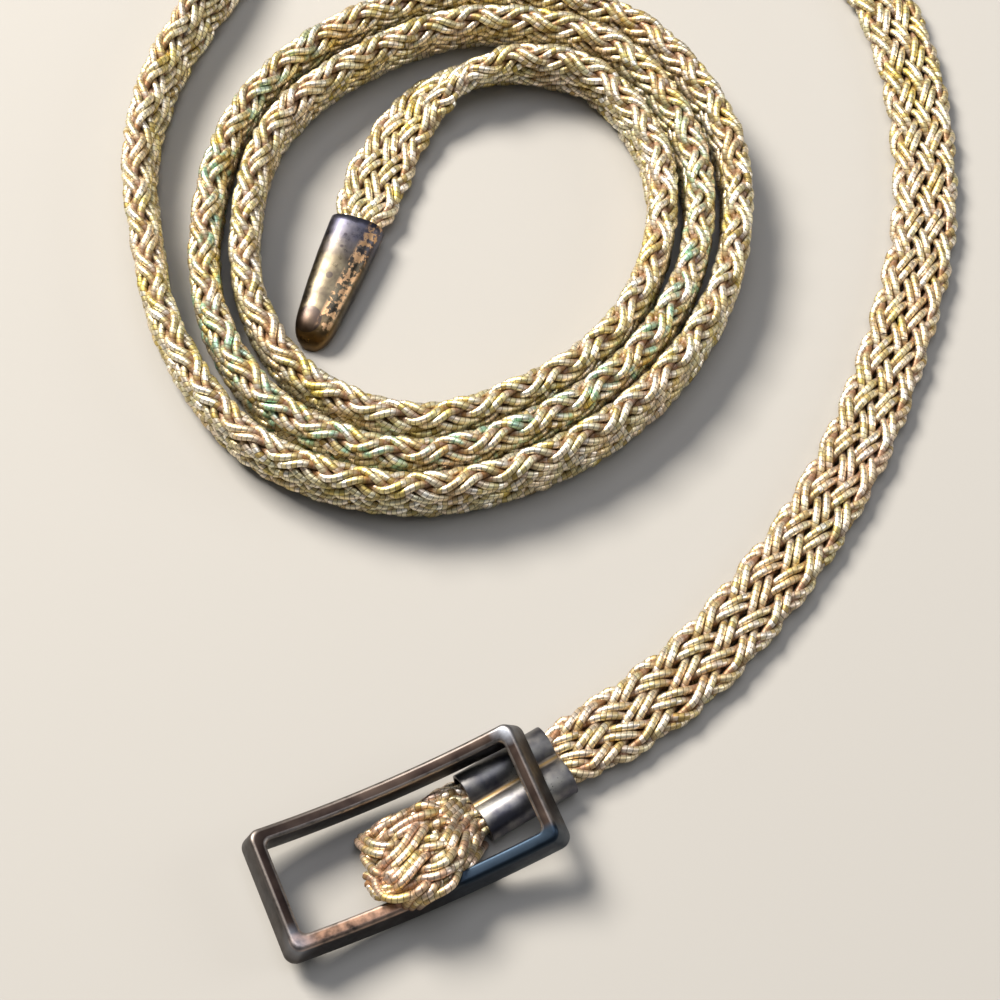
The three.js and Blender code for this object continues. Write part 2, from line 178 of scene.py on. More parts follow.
def foil_wound_cord():
    """Gold foil ribbon wound on a thread: tarnished brass gilt, each wrap catching the light in its way."""
    material, tree, shader = new_finish("foil_wound_cord")
    wrap_pitch = 0.68 * MM  # width of one wrap of foil along the cord
    reach, cord, crown, green, rosy = (
        add(tree, "ShaderNodeAttribute", {"attribute_name": name}).outputs["Fac"]
        for name in ("reach", "cord", "crown", "verdigris", "rosy"))
    turn = add(tree, "ShaderNodeAttribute", {"attribute_name": "turn"}).outputs["Vector"]
    place = add(tree, "ShaderNodeTexCoord").outputs["Object"]
    parts = add(tree, "ShaderNodeSeparateXYZ", inputs={0: turn})
    angle = add(tree, "ShaderNodeMath", {"operation": "ARCTAN2"}, {0: parts.outputs[1], 1: parts.outputs[0]})
    angle = add(tree, "ShaderNodeMath", {"operation": "DIVIDE"}, {0: angle, 1: 2 * math.pi})
    wraps = add(tree, "ShaderNodeMath", {"operation": "DIVIDE"}, {0: reach, 1: wrap_pitch})
    phase = add(tree, "ShaderNodeMath", {"operation": "ADD"}, {0: wraps, 1: angle})
    inside = add(tree, "ShaderNodeMath", {"operation": "FRACT"}, {0: phase})
    number = add(tree, "ShaderNodeMath", {"operation": "FLOOR"}, {0: phase})
    key = add(tree, "ShaderNodeCombineXYZ", inputs={0: number, 1: cord})
    luck = add(tree, "ShaderNodeTexWhiteNoise", {"noise_dimensions": "2D"}, {"Vector": key}).outputs["Value"]
    tone = add(tree, "ShaderNodeValToRGB", inputs={0: luck})
    ramp = tone.color_ramp
    ramp.elements[0].color, ramp.elements[1].color = linear("#A08A4E"), linear("#FFFBEE")
    for spot, colour in ((0.25, "#C7B98A"), (0.5, "#E8E0BE"), (0.8, "#EFDEC6")):
        ramp.elements.new(spot).color = linear(colour)
    # wide patches of pink tarnish, and smaller ones, by their size in millimetres: yellow where the gold is
    # clean, green on the middle turn, and a deeper pink towards the strap's end
    patch = add(tree, "ShaderNodeTexNoise", inputs={"Vector": place, "Scale": 1 / (7.7 * MM), "Detail": 3.0})
    patch = add(tree, "ShaderNodeMapRange", inputs={0: patch, 1: 0.5, 2: 0.68, 3: 0.0, 4: 0.45})
    layers = [(patch, "#E4C2A4")]
    for size, seed, low, high, most, colour in (
            (4.2, 4.0, 0.55, 0.7, 0.55, "#DEC548"), (1.9, 9.0, 0.52, 0.64, green, "#9CCDB4"),
            (2.4, 2.0, 0.35, 0.6, rosy, "#C9A28E")):
        patch = add(tree, "ShaderNodeTexNoise", {"noise_dimensions": "4D"},
                    {"Vector": place, "W": seed, "Scale": 1 / (size * MM), "Detail": 2.0})
        patch = add(tree, "ShaderNodeMapRange", inputs={0: patch, 1: low, 2: high, 3: 0.0, 4: most})
        layers.append((patch, colour))
    # the dark joint between two wraps, and a painted shade, brown and dull, where a strand dives under the
    # next
    middle = add(tree, "ShaderNodeMath", {"operation": "PINGPONG"}, {0: inside, 1: 0.5})
    joint = add(tree, "ShaderNodeMapRange", {"interpolation_type": "SMOOTHSTEP"},
                {0: middle, 1: 0.02, 2: 0.12, 3: 0.75, 4: 0.0})
    brown_and_painted_shade = add(tree, "ShaderNodeMapRange", inputs={0: crown, 1: 0.8, 2: 0.2, 3: 0.0, 4: 0.85})
    tone = lay_over(tree, tone, layers + [(joint, "#40280F"), (brown_and_painted_shade, "#6F4220")])
    rough = add(tree, "ShaderNodeMapRange", inputs={0: luck, 1: 0.0, 2: 1.0, 3: 0.56, 4: 0.36})
    metal = add(tree, "ShaderNodeMapRange", inputs={0: brown_and_painted_shade, 1: 0.0, 2: 0.85, 3: 0.92, 4: 0.4})
    # each wrap swells between its joints, is creased every quarter of a millimetre, and is tilted by chance
    swell = add(tree, "ShaderNodeMath", {"operation": "SMOOTH_MIN"}, {0: middle, 1: 0.25, 2: 0.2})
    crease = add(tree, "ShaderNodeTexNoise",
                 inputs={"Vector": place, "Scale": 1 / (0.25 * MM), "Detail": 1.0})
    height = add(tree, "ShaderNodeMath", {"operation": "MULTIPLY_ADD"}, {0: crease, 1: 0.08, 2: swell})
    tilt = add(tree, "ShaderNodeMath", {"operation": "SUBTRACT"}, {0: luck, 1: 0.5})
    tilt = add(tree, "ShaderNodeMath", {"operation": "MULTIPLY"}, {0: tilt, 1: inside})
    height = add(tree, "ShaderNodeMath", {"operation": "MULTIPLY_ADD"}, {0: tilt, 1: 1.5, 2: height})
    bump = add(tree, "ShaderNodeBump", inputs={"Strength": 0.8, "Distance": 0.08 * MM, "Height": height})
    feed(tree, shader, {"Base Color": tone, "Roughness": rough, "Metallic": metal, "Normal": bump})
    return material


def wind_cords(tree, curves, radius, sides, foil):
    """Gives curves a round body, with what the foil's material reads: the length along and the turn."""
    length = add(tree, "GeometryNodeSplineParameter").outputs["Length"]
    curves = add(tree, "GeometryNodeStoreNamedAttribute",
                 inputs={0: curves, "Name": "reach", "Value": length})
    circle = add(tree, "GeometryNodeCurvePrimitiveCircle", inputs={"Resolution": sides, "Radius": radius})
    spot = add(tree, "GeometryNodeInputPosition")
    circle = add(tree, "GeometryNodeStoreNamedAttribute", {"data_type": "FLOAT_VECTOR"},
                 {0: circle, "Name": "turn", "Value": spot})
    body = add(tree, "GeometryNodeCurveToMesh",
               inputs={0: curves, "Profile Curve": circle, "Fill Caps": True})
    body = add(tree, "GeometryNodeSetShadeSmooth", inputs={0: body})
    body = add(tree, "GeometryNodeRealizeInstances", inputs={0: body})
    body = add(tree, "GeometryNodeSetMaterial", inputs={0: body, "Material": foil})
    add(tree, "NodeGroupOutput", inputs={0: body})


def clamp_softly(tree, value, steepness):
    """A wave made steeper at its crossings and flat at its tops, still within one."""
    value = add(tree, "ShaderNodeMath", {"operation": "MULTIPLY"}, {0: value, 1: steepness})
    bend = add(tree, "ShaderNodeMath", {"operation": "POWER"}, {0: value, 1: 4.0})
    bend = add(tree, "ShaderNodeMath", {"operation": "ADD"}, {0: bend, 1: 1.0})
    bend = add(tree, "ShaderNodeMath", {"operation": "POWER"}, {0: bend, 1: 0.25})
    return add(tree, "ShaderNodeMath", {"operation": "DIVIDE"}, {0: value, 1: bend})


def flat_braid_tree():
    """A round braid pressed flat, laid along a route whose points carry the strap's directions and sizes."""
    tree = bpy.data.node_groups.new("flat_braid", "GeometryNodeTree")
    face = tree.interface
    face.new_socket("Route", in_out="INPUT", socket_type="NodeSocketGeometry")
    for name, kind, value in (
            ("Strands each way", "NodeSocketInt", 6), ("Cords in a strand", "NodeSocketInt", 2),
            ("Sides", "NodeSocketInt", 7), ("Crossing step", "NodeSocketFloat", 3.7 * MM),
            ("Cord radius", "NodeSocketFloat", 0.53 * MM), ("Sample step", "NodeSocketFloat", 0.65 * MM),
            ("Unevenness", "NodeSocketFloat", 0.2 * MM), ("Lead in a pair", "NodeSocketFloat", 0.154)):
        face.new_socket(name, in_out="INPUT", socket_type=kind).default_value = value
    face.new_socket("Foil", in_out="INPUT", socket_type="NodeSocketMaterial")
    face.new_socket("Braid", in_out="OUTPUT", socket_type="NodeSocketGeometry")
    given = tree.nodes.new("NodeGroupInput").outputs
    strands, paired, radius = (
        given[name] for name in ("Strands each way", "Cords in a strand", "Cord radius"))
    across, through = (
        add(tree, "GeometryNodeInputNamedAttribute", {"data_type": "FLOAT_VECTOR"}, {"Name": name})
        for name in ("across", "through"))
    half_width, half_thick, pinch, along, twist, cord = (
        add(tree, "GeometryNodeInputNamedAttribute", inputs={"Name": name})
        for name in ("half_width", "half_thickness", "pinch", "along", "twist", "cord"))
    # every cord starts as a copy of the route; even strands run one way round, odd strands the other
    curve = add(tree, "GeometryNodeMeshToCurve", inputs={0: given["Route"]})
    curve = add(tree, "GeometryNodeResampleCurve", {"mode": "LENGTH"},
                {0: curve, "Length": given["Sample step"]})
    amount = add(tree, "ShaderNodeMath", {"operation": "MULTIPLY"}, {0: strands, 1: paired})
    amount = add(tree, "ShaderNodeMath", {"operation": "MULTIPLY"}, {0: amount, 1: 2.0})
    copies = add(tree, "GeometryNodeDuplicateElements", {"domain": "SPLINE"}, {0: curve, "Amount": amount})
    kept = add(tree, "GeometryNodeStoreNamedAttribute",
               inputs={0: copies, "Name": "cord", "Value": copies.outputs["Duplicate Index"]})
    share = add(tree, "ShaderNodeMath", {"operation": "DIVIDE"}, {0: cord, 1: paired})
    strand = add(tree, "ShaderNodeMath", {"operation": "FLOOR"}, {0: share})
    side = add(tree, "ShaderNodeMath", {"operation": "SUBTRACT"}, {0: share, 1: strand})
    odd = add(tree, "ShaderNodeMath", {"operation": "FLOORED_MODULO"}, {0: strand, 1: 2.0})
    way = add(tree, "ShaderNodeMath", {"operation": "MULTIPLY_ADD"}, {0: odd, 1: -2.0, 2: 1.0})
    first = add(tree, "ShaderNodeMath", {"operation": "SUBTRACT"}, {0: strand, 1: odd})
    first = add(tree, "ShaderNodeMath", {"operation": "ADD"}, {0: first, 1: twist})
    # progress round the braid, in crossings, and over one strand and under the next on the way
    steps = add(tree, "ShaderNodeMath", {"operation": "DIVIDE"}, {0: along, 1: given["Crossing step"]})
    progress = add(tree, "ShaderNodeMath", {"operation": "MULTIPLY_ADD"}, {0: steps, 1: way, 2: first})
    lap = add(tree, "ShaderNodeMath", {"operation": "DIVIDE"}, {0: progress, 1: strands})
    lap = add(tree, "ShaderNodeMath", {"operation": "MULTIPLY"}, {0: lap, 1: math.pi})
    # the crossing strand lies aslant, so one cord of a pair, at minus one, meets it before the other, at one
    apart = add(tree, "ShaderNodeMath", {"operation": "MULTIPLY_ADD"}, {0: side, 1: 4.0, 2: -1.0})
    lead = add(tree, "ShaderNodeMath", {"operation": "MULTIPLY"}, {0: apart, 1: way})
    lead = add(tree, "ShaderNodeMath", {"operation": "MULTIPLY"}, {0: lead, 1: given["Lead in a pair"]})
    beat = add(tree, "ShaderNodeMath", {"operation": "SUBTRACT"}, {0: steps, 1: lead})
    beat = add(tree, "ShaderNodeMath", {"operation": "MULTIPLY"}, {0: beat, 1: math.pi})
    beat = add(tree, "ShaderNodeMath", {"operation": "COSINE"}, {0: beat})
    beat = add(tree, "ShaderNodeMath", {"operation": "MULTIPLY"}, {0: beat, 1: way})
    beat = clamp_softly(tree, beat, steepness=1.5)
    # place across the width: a triangle wave with rounded turns
    wave = add(tree, "ShaderNodeMath", {"operation": "COSINE"}, {0: lap})
    sharpness = 0.95
    wave = add(tree, "ShaderNodeMath", {"operation": "MULTIPLY"}, {0: wave, 1: sharpness})
    wave = add(tree, "ShaderNodeMath", {"operation": "ARCSINE"}, {0: wave})
    wave = add(tree, "ShaderNodeMath", {"operation": "DIVIDE"}, {0: wave, 1: math.asin(sharpness)})
    inset = 1.9  # the strands' middle layer lies this many cord radii inside the strap's skin
    edge = add(tree, "ShaderNodeMath", {"operation": "MULTIPLY_ADD"}, {0: radius, 1: -inset, 2: half_width})
    sideways = add(tree, "ShaderNodeMath", {"operation": "MULTIPLY"}, {0: wave, 1: edge})
    # place through the thickness: flat above and below, and squeezed in the middle where the sleeve holds it
    swing = add(tree, "ShaderNodeMath", {"operation": "SINE"}, {0: lap})
    swing = clamp_softly(tree, swing, steepness=2.8)
    off = add(tree, "ShaderNodeMath", {"operation": "ABSOLUTE"}, {0: wave})
    waist = add(tree, "ShaderNodeMapRange", inputs={0: off, 1: 0.1, 2: 0.6, 3: 0.31, 4: 1.0})
    waist = add(tree, "ShaderNodeMix", {"data_type": "FLOAT"}, {0: pinch, 2: 1.0, 3: waist})
    thick = add(tree, "ShaderNodeMath", {"operation": "MULTIPLY"}, {0: half_thick, 1: waist})
    thick = add(tree, "ShaderNodeMath", {"operation": "MULTIPLY_ADD"}, {0: radius, 1: -inset, 2: thick})
    thick = add(tree, "ShaderNodeMath", {"operation": "MAXIMUM"}, {0: thick, 1: 0.0})
    height = add(tree, "ShaderNodeMath", {"operation": "MULTIPLY"}, {0: swing, 1: thick})
    sideways = add(tree, "ShaderNodeVectorMath", {"operation": "SCALE"}, {0: across, "Scale": sideways})
    height = add(tree, "ShaderNodeVectorMath", {"operation": "SCALE"}, {0: through, "Scale": height})
    shift = add(tree, "ShaderNodeVectorMath", {"operation": "ADD"}, {0: sideways, 1: height})
    # outwards from the braid's skin, and the rise and fall along it
    lean = add(tree, "ShaderNodeMath", {"operation": "POWER"}, {0: off, 1: 3.0})
    lean = add(tree, "ShaderNodeMath", {"operation": "MULTIPLY"}, {0: lean, 1: wave})
    lean = add(tree, "ShaderNodeVectorMath", {"operation": "SCALE"}, {0: across, "Scale": lean})
    out = add(tree, "ShaderNodeVectorMath", {"operation": "SCALE"}, {0: through, "Scale": swing})
    out = add(tree, "ShaderNodeVectorMath", {"operation": "ADD"}, {0: out, 1: lean})
    out = add(tree, "ShaderNodeVectorMath", {"operation": "NORMALIZE"}, {0: out})
    rise = add(tree, "ShaderNodeMath", {"operation": "MULTIPLY"}, {0: beat, 1: radius})
    flatter = add(tree, "ShaderNodeMapRange", inputs={0: off, 1: 0.6, 2: 1.0, 3: 1.12, 4: 0.75})
    rise = add(tree, "ShaderNodeMath", {"operation": "MULTIPLY"}, {0: rise, 1: flatter})
    rise = add(tree, "ShaderNodeVectorMath", {"operation": "SCALE"}, {0: out, "Scale": rise})
    shift = add(tree, "ShaderNodeVectorMath", {"operation": "ADD"}, {0: shift, 1: rise})
    laid = add(tree, "GeometryNodeSetPosition", inputs={0: kept, "Offset": shift})
    # the cords of a strand lie side by side, square to the strand's own run
    run = add(tree, "GeometryNodeInputTangent")
    beside = add(tree, "ShaderNodeVectorMath", {"operation": "CROSS_PRODUCT"}, {0: out, 1: run})
    beside = add(tree, "ShaderNodeVectorMath", {"operation": "NORMALIZE"}, {0: beside})
    apart = add(tree, "ShaderNodeMath", {"operation": "MULTIPLY"}, {0: apart, 1: radius})
    beside = add(tree, "ShaderNodeVectorMath", {"operation": "SCALE"}, {0: beside, "Scale": apart})
    # and each wanders a little, 240 times in a metre, and not as its neighbours do
    key = add(tree, "ShaderNodeCombineXYZ", inputs={0: along, 1: cord})
    key = add(tree, "ShaderNodeVectorMath", {"operation": "MULTIPLY"}, {0: key, 1: (240.0, 7.31, 1.0)})
    uneven = add(tree, "ShaderNodeTexNoise", inputs={"Vector": key, "Scale": 1.0, "Detail": 1.0})
    uneven = add(tree, "ShaderNodeVectorMath", {"operation": "SUBTRACT"},
                 {0: uneven.outputs["Color"], 1: (0.5, 0.5, 0.5)})
    much = add(tree, "ShaderNodeMath", {"operation": "MULTIPLY"}, {0: given["Unevenness"], 1: 2.0})
    uneven = add(tree, "ShaderNodeVectorMath", {"operation": "SCALE"}, {0: uneven, "Scale": much})
    shift = add(tree, "ShaderNodeVectorMath", {"operation": "ADD"}, {0: beside, 1: uneven})
    laid = add(tree, "GeometryNodeSetPosition", inputs={0: laid, "Offset": shift})
    # no cord goes under the table
    spot = add(tree, "GeometryNodeInputPosition")
    parts = add(tree, "ShaderNodeSeparateXYZ", inputs={0: spot})
    level = add(tree, "ShaderNodeMath", {"operation": "MAXIMUM"}, {0: parts.outputs[2], 1: radius})
    spot = add(tree, "ShaderNodeCombineXYZ", inputs={0: parts.outputs[0], 1: parts.outputs[1], 2: level})
    laid = add(tree, "GeometryNodeSetPosition", inputs={0: laid, "Position": spot})
    crown = add(tree, "ShaderNodeMath", {"operation": "MULTIPLY_ADD"}, {0: beat, 1: 0.5, 2: 0.5})
    laid = add(tree, "GeometryNodeStoreNamedAttribute", inputs={0: laid, "Name": "crown", "Value": crown})
    wind_cords(tree, laid, radius, given["Sides"], given["Foil"])
    return tree


def put(mesh, name, material=None):
    """A new object at the origin with this mesh."""
    piece = bpy.data.objects.new(name, mesh)
    bpy.context.scene.collection.objects.link(piece)
    if material is not None:
        mesh.materials.append(material)
    return piece


def carry(mesh, values):
    """Gives a mesh's points named values: numbers, or rows of three."""
    for key, value in values.items():
        kind, field = ("FLOAT_VECTOR", "vector") if value.ndim == 2 else ("FLOAT", "value")
        mesh.attributes.new(key, kind, "POINT").data.foreach_set(field, value.ravel())


def grow(name, points, edges, values, tree, material):
    """A plain mesh made by a tree from lines of points that carry named values."""
    mesh = bpy.data.meshes.new(name)
    mesh.from_pydata([tuple(p) for p in points], edges, [])
    carry(mesh, values)
    source = put(mesh, name + "_route")
    modifier = source.modifiers.new("cords", "NODES")
    modifier.node_group = tree
    for item in tree.interface.items_tree:
        if item.name == "Foil" and item.in_out == "INPUT":
            modifier[item.identifier] = material
    made = source.evaluated_get(bpy.context.evaluated_depsgraph_get())
    piece = put(bpy.data.meshes.new_from_object(made), name)
    source.modifiers.remove(modifier)
    bpy.data.objects.remove(source)
    return piece


def near(value, low, high, soft):
    """One between low and high, falling to nothing over the soft distance outside them."""
    return np.clip((value - low) / soft + 1, 0, 1) * np.clip((high - value) / soft + 1, 0, 1)


route = route_samples(step=0.5)
total = len(route["along"])
spot = route["along"] / MM
route["verdigris"] = 0.7 * near(spot, *GREEN_LENGTH, 40) + 0.1
route["rosy"] = 0.25 * near(spot, spot[-1] - PINK_LENGTH, spot[-1], 60)
route["along"] = route["along"] - FIRST_CROSSING * MM
sink = FOLD_SINK * MM * near(spot, spot[-1] - FOLD_LENGTH, spot[-1], 2.0)
route["half_thickness"] = route["half_thickness"] - sink
route["centre"] = route["centre"] - sink[:, None] * route["through"]
foil = foil_wound_cord()
braid = flat_braid_tree()
# five lengths, so that no piece has over 200,000 triangles
cuts = [0, total * 2 // 9, total * 4 // 9, total * 6 // 9, total * 8 // 9, total - 1]
names = ("braid_inner_turn", "braid_middle_turn", "braid_outer_turn", "braid_arc", "braid_return")
for name, start, stop in zip(names, cuts, cuts[1:]):
    values = {key: value[start:stop + 1] for key, value in route.items()}
    points = values.pop("centre")
    piece = grow(name, points, [(k, k + 1) for k in range(len(points) - 1)], values, braid, foil)
    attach(piece, "root")
    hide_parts("strap")


# Folded end
# The strap's end, turned back on itself inside the buckle, where the braid has been pulled open. Each loose
# foil-wound cord is laid over the braid below, with its ends tucked under the next or in the sleeve.
TUCK_DEPTH, TUCK_LENGTH, LOWEST = 1.2, 1.6, 0.6
FIRST_LOOSE_CORD = 50.0  # its number, above those of the braid's cords
LOOSE_CORDS = [  # places along each cord, in millimetres
    [(-3.7, 5.2, 1.3), (-3.8, 4.6, 1.9), (-3.6, 3.1, 4.1), (-2.9, 1.8, 5.3), (-1.8, 1, 5.7), (-0.8, 0.9, 5.7),
     (0, 1.1, 5.2)],
    [(-4.3, 4.8, 1.1), (-4.5, 3.6, 2.7), (-4.1, 2.2, 3.9), (-3.2, 0.7, 5.4), (-2, 0, 5.7), (-1, 0, 5.7)],
    [(-4.5, 2.2, 3.1), (-4.7, 1.1, 3.8), (-4.5, -0.3, 4.7), (-4.1, -1.7, 6.1), (-3.3, -2.5, 6.5)],
    [(-4.3, -1.1, 4.5), (-4.6, -2.3, 5.3), (-4.8, -3.7, 6), (-4.4, -5.2, 7), (-3.3, -6.1, 7.6),
     (-2, -6.4, 7.9), (-0.8, -6.5, 7.6), (0, -6.5, 7.3)],
    [(-1.0, -7.0, 5.8), (-0.2, -7.3, 6.7), (1.0, -7.3, 7.2), (2.2, -7.3, 7.5), (3.5, -6.9, 7.5),
     (4.3, -6, 7.2), (4.8, -5.3, 6.9)],
    [(-2.5, -6.5, 6.3), (-1.6, -6.5, 7.5), (-0.5, -6.4, 8.4), (0.6, -5.9, 8.2), (1.5, -5.2, 7.6)],
    [(-1.9, -6.9, 6.3), (-0.8, -7.0, 7.3), (0.6, -6.9, 7.8), (1.5, -6.3, 7.9), (2.4, -5.8, 7.6)],
    [(-3.8, -1.2, 5.8), (-2.7, -1, 6.3), (-1.3, -0.6, 6.8), (0, 0.1, 6.7), (1.1, 1, 6.4), (2.2, 1.9, 5.7),
     (3.1, 2.7, 5)],
    [(-3.5, -2.3, 6.2), (-2.3, -2.1, 6.8), (-0.9, -1.6, 7.1), (0.6, -0.8, 7), (1.8, 0.1, 6.7), (3, 1.1, 6),
     (3.9, 2, 5.3)],
    [(-2.1, 2.4, 4.5), (-0.8, 2.5, 5.2), (0.7, 2.8, 5.6), (2.3, 3, 5.6), (3.9, 2.9, 5.6), (5.3, 3, 4.8),
     (6.5, 3.4, 3.7)],
    [(-1.4, 1.6, 4.8), (0, 1.9, 5.3), (1.5, 2.1, 5.5), (2.9, 2.2, 5.3), (4.2, 2.1, 5.3)],
    [(-3.2, 3.6, 3.3), (-2.1, 4, 3.7), (-0.9, 4.2, 3.8), (0.3, 4.1, 4.5), (1.6, 4.5, 4.3), (2.8, 4.9, 4)],
    [(-3.1, 4.3, 2.6), (-2, 4.6, 3), (-0.6, 4.7, 3.6), (0.6, 4.7, 3.5), (1.9, 4.8, 3.5)],
    [(-3.9, -4.2, 6.6), (-2.8, -3.7, 7.4), (-1.7, -3.3, 7.6), (-0.2, -2.6, 7.4), (1, -1.8, 7.1),
     (1.9, -1.2, 6.6)],
    [(-3.5, -5, 7.1), (-2.3, -4.7, 7.8), (-1, -4.1, 8.1), (0.4, -3.3, 7.9), (1.5, -2.6, 7.6), (2.5, -2, 7.1)],
    [(-4.1, -3.2, 6.2), (-3.2, -3, 6.8), (-2, -2.6, 7), (-0.9, -2.2, 6.9)],
    [(-4.1, -2, 5.9), (-3.1, -2.6, 6.7), (-2, -2.9, 7.1), (-1, -2.5, 6.9)],
    [(0.2, -4, 7.3), (1.2, -4.2, 8), (2.3, -4.5, 8.4), (3.6, -4.4, 8.5), (4.8, -3.6, 7.9), (5.7, -2.7, 6.8)],
    [(-0.6, -4.8, 7.4), (0.3, -5.1, 8.1), (1.4, -5.5, 8.4), (2.5, -5.6, 8.4), (3.6, -5.4, 8.1),
     (4.6, -4.9, 7.5)],
    [(2, -0.3, 6.2), (2.9, -0.4, 6.7), (4, -0.6, 6.7), (5.1, -0.5, 6.3)],
    [(1.1, -1.1, 6.3), (2.2, -1.4, 7), (3.3, -1.8, 7.3), (4.5, -1.7, 6.9), (5.4, -1.1, 6.2)],
    [(1.8, -3.3, 7.2), (2.8, -3.4, 7.6), (4, -3.2, 7.6), (5.1, -2.7, 6.9)],
    [(3.3, -2.3, 6.9), (4.2, -1.7, 7.1), (5.1, -1, 6.9), (6.1, 0, 6), (7.2, 1.2, 4.1)],
    [(4, -3.2, 7.3), (5, -2.5, 7.1), (6, -1.5, 6.8), (7, -0.1, 4.9), (8, 0.8, 3.8)],
    [(4.6, -4.9, 7.5), (5.7, -3.9, 7.4), (6.6, -2.8, 6.8), (7.4, -1.3, 5), (8.4, -0.1, 3.6)],
    [(5.1, -5.3, 6.6), (6.4, -4.5, 6.2), (7.6, -2.9, 4.4), (8.5, -1.8, 4.1), (9.3, -0.4, 2.8)],
    [(5.6, -5.8, 6.3), (7, -4.7, 5.5), (8.5, -3, 2.7), (9.6, -1.8, 1.5)],
    [(5.9, 4.5, 3.7), (7.1, 4.8, 3.8), (8.3, 5, 3.3), (9.4, 4.7, 2.9)],
    [(6.9, 5.6, 2.9), (8.3, 6.4, 1.8), (9.5, 6.6, 1.7)],
    [(2.3, 4.7, 3.7), (3.5, 4.6, 4.4), (4.6, 4.2, 4.7), (5.7, 3.6, 4.3), (6.5, 2.9, 3.8)],
    [(4.1, 5.2, 3.7), (5.3, 5.3, 3.5), (6.4, 5.5, 3.2), (7.7, 6.4, 1.6)],
    [(4.7, 2.5, 5), (5.9, 2.7, 4.7), (7.1, 3.3, 4.1), (8.3, 3.9, 3.3), (9.2, 3.9, 2.9)],
    [(5.1, 1.1, 5.6), (6.5, 2, 4.6), (7.8, 2.7, 3.9), (9.1, 3.4, 3.1), (9.8, 3.8, 2.8)],
    [(5.8, 0.2, 5.7), (7.2, 1.5, 4.3), (8.6, 2.4, 3.4), (9.8, 2.8, 3)],
    [(3.6, 1.2, 5.4), (4.6, 1.3, 5.8), (5.7, 1.3, 5.3), (6.5, 0.9, 4.6), (6.9, -0.2, 4.5)],
    [(4.9, 3.8, 4.6), (6, 4, 4), (6.9, 3.8, 3.9), (7.7, 3, 3.5), (8.1, 2.1, 3.1)],
    [(6.3, -0.8, 5.7), (7.7, 0.2, 4.3), (9, 1.3, 3.2), (10, 2, 2.9)],
    [(7.1, -2, 5), (8.2, -1, 4.3), (9.2, 0.2, 3.2), (10, 1.2, 2.9)],
    [(7.9, -2.7, 3.8), (8.9, -1.7, 3), (9.7, -0.8, 2.6), (10.2, 0, 2.6)],
]


def loose_cords_tree():
    """Round cords wound with foil along loose curves."""
    tree = bpy.data.node_groups.new("loose_cords", "GeometryNodeTree")
    face = tree.interface
    face.new_socket("Lines", in_out="INPUT", socket_type="NodeSocketGeometry")
    for name, kind, value in (("Sides", "NodeSocketInt", 12), ("Cord radius", "NodeSocketFloat", 0.53 * MM),
                              ("Sample step", "NodeSocketFloat", 0.3 * MM)):
        face.new_socket(name, in_out="INPUT", socket_type=kind).default_value = value
    face.new_socket("Foil", in_out="INPUT", socket_type="NodeSocketMaterial")
    face.new_socket("Cords", in_out="OUTPUT", socket_type="NodeSocketGeometry")
    given = tree.nodes.new("NodeGroupInput").outputs
    curve = add(tree, "GeometryNodeMeshToCurve", inputs={0: given["Lines"]})
    curve = add(tree, "GeometryNodeResampleCurve", {"mode": "LENGTH"},
                {0: curve, "Length": given["Sample step"]})
    wind_cords(tree, curve, given["Cord radius"], given["Sides"], given["Foil"])
    return tree


def smooth_line(points, cuts):
    """A line through the points, cut finer along a Catmull-Rom curve."""
    points = np.array(points)
    ends = np.vstack([2 * points[0] - points[1], points, 2 * points[-1] - points[-2]])
    line = [points[0]]
    for a, b, c, d in zip(ends, ends[1:], ends[2:], ends[3:]):
        for t in np.arange(1, cuts + 1) / cuts:
            line.append(0.5 * (2 * b + (c - a) * t + (2 * a - 5 * b + 4 * c - d) * t ** 2
                               + (3 * b - a - 3 * c + d) * t ** 3))
    return np.array(line)


points, edges, cord, crown = [], [], [], []
for k, loose in enumerate(LOOSE_CORDS):
    line = smooth_line(loose, cuts=5)
    to_end = np.minimum(np.linalg.norm(line - line[0], axis=1), np.linalg.norm(line - line[-1], axis=1))
    line[:, 2] = np.maximum(line[:, 2] - TUCK_DEPTH * np.clip(1 - to_end / TUCK_LENGTH, 0, 1) ** 1.5, LOWEST)
    edges += [(len(points) + i, len(points) + i + 1) for i in range(len(line) - 1)]
    points += [tuple(p) for p in (line - ORIGIN) * MM]
    cord += [FIRST_LOOSE_CORD + k] * len(line)
    # the foil gets no painted shade along a cord's middle, and the painted shade of a diving strand at its
    # tucked ends
    crown += list(0.15 + 0.85 * np.sin(np.pi * np.arange(len(line)) / (len(line) - 1)) ** 0.6)
values = {"cord": np.array(cord), "crown": np.array(crown), "verdigris": np.zeros(len(points)),
          "rosy": np.full(len(points), 0.75)}
piece = grow("folded_end_cords", points, edges, values, loose_cords_tree(), foil)
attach(piece, "root")
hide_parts("strap")


# Buckle frame
# A small open rectangle of dark bronze, cast in one piece and bowed along its length. Its lacquer has worn
# to brown, and to bright metal at the corners; its pale line along the window's upper edge is partly worn
# metal and partly a painted highlight.
FRAME_LENGTH, FRAME_WIDTH, BAR_WIDTH, BAR_DEPTH, BAR_DRAFT = 37.6, 16.6, 2.2, 4.2, 0.35
WINDOW_CORNER, OUTER_CORNER, BOW_RADIUS = 0.9, 1.5, 63


